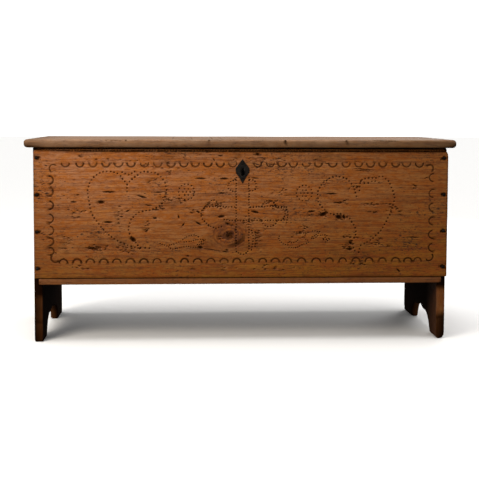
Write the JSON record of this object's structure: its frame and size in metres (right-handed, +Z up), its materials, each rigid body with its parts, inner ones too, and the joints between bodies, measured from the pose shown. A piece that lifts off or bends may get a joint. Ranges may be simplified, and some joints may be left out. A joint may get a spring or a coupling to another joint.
{
  "type": "plank chest",
  "caption": "Low plank chest with gouged and pricked front, end boards cut as arched feet, strap-hinged lid, open till and an iron lock whose bolt slides through the lid's staple.",
  "frame": {"origin": "on the floor, under the middle of the overall length and depth", "axes": "+X to the right as seen from the front, +Y to the back, +Z up"},
  "size_m": [1.32, 0.501, 0.622],
  "materials": {
    "lid_pine": "old pine, worn pale and dry on top, brown on the edge",
    "carved_pine": "old pine with a warm brown patina, waxed by handling, carved",
    "case_pine": "old pine, dark brown patina",
    "inner_pine": "old pine, unfinished inside",
    "forged_iron": "wrought iron, black with age",
    "nail_iron": "hand-made iron nails, rusty black"
  },
  "bodies": {
    "carcase": {"front_board": "carved_pine", "back_board": "case_pine", "left_end_board": "case_pine", "right_end_board": "case_pine", "bottom_board": "case_pine", "till_side": "inner_pine", "till_bottom": "inner_pine", "front_nails": "nail_iron", "back_nails": "nail_iron", "bottom_nails": "nail_iron", "escutcheon": "forged_iron", "escutcheon_nails": "nail_iron", "lock_plate": "forged_iron", "lock_nails": "nail_iron", "left_bolt_keeper": "forged_iron", "right_bolt_keeper": "forged_iron", "bolt_spring": "forged_iron", "key_box": "forged_iron", "left_hinge_tail": "forged_iron", "right_hinge_tail": "forged_iron", "left_hinge_pin": "forged_iron", "right_hinge_pin": "forged_iron", "tail_nails": "nail_iron"},
    "lid": {"lid_board": "lid_pine", "left_lid_strap": "forged_iron", "right_lid_strap": "forged_iron", "strap_nails": "nail_iron", "lid_staple": "forged_iron", "staple_nails": "nail_iron"},
    "bolt": {"lock_bolt": "forged_iron"}
  },
  "joints": [
    {"name": "lid_hinge", "type": "hinge", "parent": "carcase", "child": "lid", "pos_m": [0, 0.245, 0.5915], "axis": [-1, 0, 0], "range_deg": [0, 100]},
    {"name": "bolt_slide", "type": "slide", "parent": "carcase", "child": "bolt", "axis": [-1, 0, 0], "range_m": [0, 0.014]}
  ]
}
